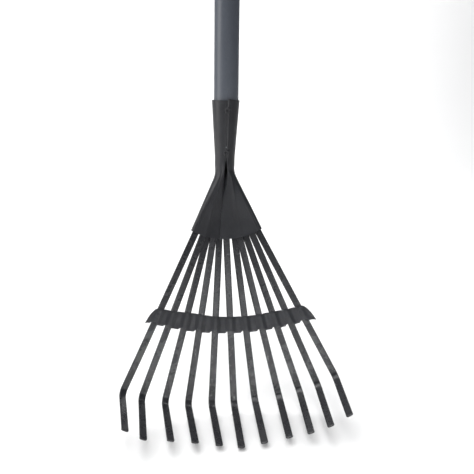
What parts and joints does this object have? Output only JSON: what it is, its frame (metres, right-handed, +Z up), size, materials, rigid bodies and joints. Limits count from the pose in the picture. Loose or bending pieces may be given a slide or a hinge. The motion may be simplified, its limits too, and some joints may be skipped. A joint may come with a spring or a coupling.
{
  "type": "leaf rake",
  "caption": "Long-handled leaf rake: a fan of flat sprung tines with forward hooks, held by a pressed socket and pocket and spaced by a clamped crossbar.",
  "frame": {"origin": "on the handle's axis, in the plane of the rim where the handle enters the head's socket", "axes": "+Z up along the handle, away from the head; X across the fan; the hooks turn forward to -Y"},
  "size_m": [0.2284, 0.1276, 1.5964],
  "materials": {
    "handle_paint": "satin grey powder coat on drawn steel tube",
    "cap_plastic": "moulded black plastic with a fine grain",
    "rivet_steel": "plain zinc-plated steel",
    "ferrule_coat": "anthracite powder coat on pressed steel sheet",
    "tine_coat": "anthracite powder coat on flat spring steel",
    "crossbar_coat": "anthracite powder coat on pressed steel sheet"
  },
  "bodies": {
    "root": {"handle_tube": "handle_paint", "handle_end_cap": "cap_plastic", "handle_rivet": "rivet_steel", "ferrule": "ferrule_coat", "tine_01": "tine_coat", "tine_02": "tine_coat", "tine_03": "tine_coat", "tine_04": "tine_coat", "tine_05": "tine_coat", "tine_06": "tine_coat", "tine_07": "tine_coat", "tine_08": "tine_coat", "tine_09": "tine_coat", "tine_10": "tine_coat", "tine_11": "tine_coat", "crossbar_front_plate": "crossbar_coat", "crossbar_back_plate": "crossbar_coat", "crossbar_rivets": "crossbar_coat"}
  },
  "joints": []
}
